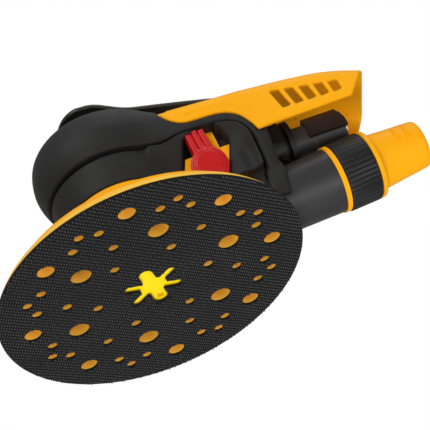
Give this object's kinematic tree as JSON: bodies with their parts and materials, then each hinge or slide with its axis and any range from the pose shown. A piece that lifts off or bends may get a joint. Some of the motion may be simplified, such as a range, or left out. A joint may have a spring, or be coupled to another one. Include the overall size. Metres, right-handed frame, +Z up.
{
  "type": "random orbital sander",
  "caption": "Air-powered palm sander: throttle paddle, vane motor and eccentric, hook-and-loop disc pad with dust holes, shroud, dust tube and nozzle.",
  "frame": {"origin": "on the motor's axis, at the height of the sanding face", "axes": "+Z up from the pad to the palm grip, +X back to the dust nozzle, the speed lever on the -Y side"},
  "size_m": [0.2251, 0.15, 0.1087],
  "materials": {
    "grip_rubber": "matt speckled overmoulded rubber, near black",
    "yellow_plastic": "golden yellow moulded plastic",
    "tube_grey": "smooth dark grey moulded plastic",
    "black_plastic": "black moulded plastic",
    "muffler_grey": "dark grey plastic",
    "pad_foam": "pale yellow closed-cell polyurethane foam",
    "pad_fleece": "dark grey hook fabric",
    "pad_plate": "bright yellow glass-filled plastic",
    "red_lever": "red moulded plastic",
    "paddle_black": "brownish black moulded plastic",
    "screw_steel": "zinc-plated steel",
    "bearing_steel": "ground bearing steel",
    "light_alloy": "machined aluminium",
    "brass_seat": "turned brass",
    "seal_rubber": "black nitrile rubber",
    "felt": "felt silencer",
    "vane_composite": "phenolic composite"
  },
  "bodies": {
    "housing": {"motor_housing": "yellow_plastic", "palm_grip": "grip_rubber", "lower_shell": "grip_rubber", "hood": "yellow_plastic", "hood_screws": "screw_steel", "shroud": "yellow_plastic", "brake_seal": "seal_rubber", "front_endplate": "light_alloy", "rear_endplate": "light_alloy", "motor_cylinder": "bearing_steel", "cylinder_dowel": "screw_steel", "motor_lock_ring": "light_alloy", "wave_washer": "screw_steel", "front_bearing": "bearing_steel", "rear_bearing": "bearing_steel", "dust_tube": "tube_grey", "tube_ring": "yellow_plastic", "inlet_tube": "light_alloy", "inlet_sleeve": "black_plastic", "inlet_bushing": "screw_steel", "inlet_screen": "screw_steel", "muffler_body": "muffler_grey", "muffler_cap": "muffler_grey", "muffler_felt": "felt", "muffler_cover": "black_plastic", "knurled_ring": "black_plastic", "inlet_clamp": "black_plastic", "clamp_screw": "screw_steel", "lever_pin": "screw_steel", "valve_seat": "brass_seat", "stem_seal": "seal_rubber", "valve_spring": "screw_steel"},
    "eccentric": {"balancer_shaft": "bearing_steel", "spindle_retainer": "screw_steel", "shaft_snap_ring": "screw_steel", "motor_rotor": "light_alloy", "rotor_vanes": "vane_composite", "rotor_key": "screw_steel", "spindle_bearing_lower": "bearing_steel", "spindle_bearing_upper": "bearing_steel"},
    "pad": {"backing_plate": "pad_plate", "star_hub": "pad_plate", "pad_foam": "pad_foam", "hook_face": "pad_fleece", "pad_stud": "bearing_steel", "spindle_spacer": "bearing_steel", "pad_spindle": "bearing_steel"},
    "paddle": {"throttle_lever": "paddle_black"},
    "valve": {"valve_stem": "screw_steel", "valve_plug": "seal_rubber"},
    "speed_control": {"speed_lever": "red_lever", "speed_spool": "vane_composite"},
    "collar": {"collar_nut": "black_plastic"},
    "spout": {"nozzle": "yellow_plastic", "nozzle_seal": "seal_rubber"}
  },
  "joints": [
    {"name": "motor_spin", "type": "hinge", "parent": "housing", "child": "eccentric", "pos_m": [0, 0, 0.06], "axis": [0, 0, 1], "continuous": true},
    {"name": "pad_spin", "type": "hinge", "parent": "eccentric", "child": "pad", "pos_m": [0, -0.0025, 0.02], "axis": [0, 0, 1], "continuous": true},
    {"name": "throttle", "type": "hinge", "parent": "housing", "child": "paddle", "pos_m": [0.08, 0, 0.0833], "axis": [0, -1, 0], "range_deg": [0, 4.5], "stiffness_Nm_per_rad": 2, "springref_deg": -5.73},
    {"name": "valve_slide", "type": "slide", "parent": "housing", "child": "valve", "axis": [0, 0, -1], "range_m": [0, 0.0018], "deforming": ["valve_spring"]},
    {"name": "speed_turn", "type": "hinge", "parent": "housing", "child": "speed_control", "pos_m": [0.0452, -0.02, 0.0418], "axis": [0, 1, 0], "range_deg": [-4, 18]},
    {"name": "collar_turn", "type": "hinge", "parent": "housing", "child": "collar", "pos_m": [0.1028, 0, 0.026], "axis": [0.9971, 0, 0.0767], "range_deg": [0, 30]},
    {"name": "spout_swivel", "type": "hinge", "parent": "housing", "child": "spout", "pos_m": [0.1028, 0, 0.026], "axis": [0.9971, 0, 0.0767], "continuous": true}
  ],
  "couplings": [
    {"joint": "valve_slide", "follows": "throttle", "m_per_rad": 0.02}
  ]
}
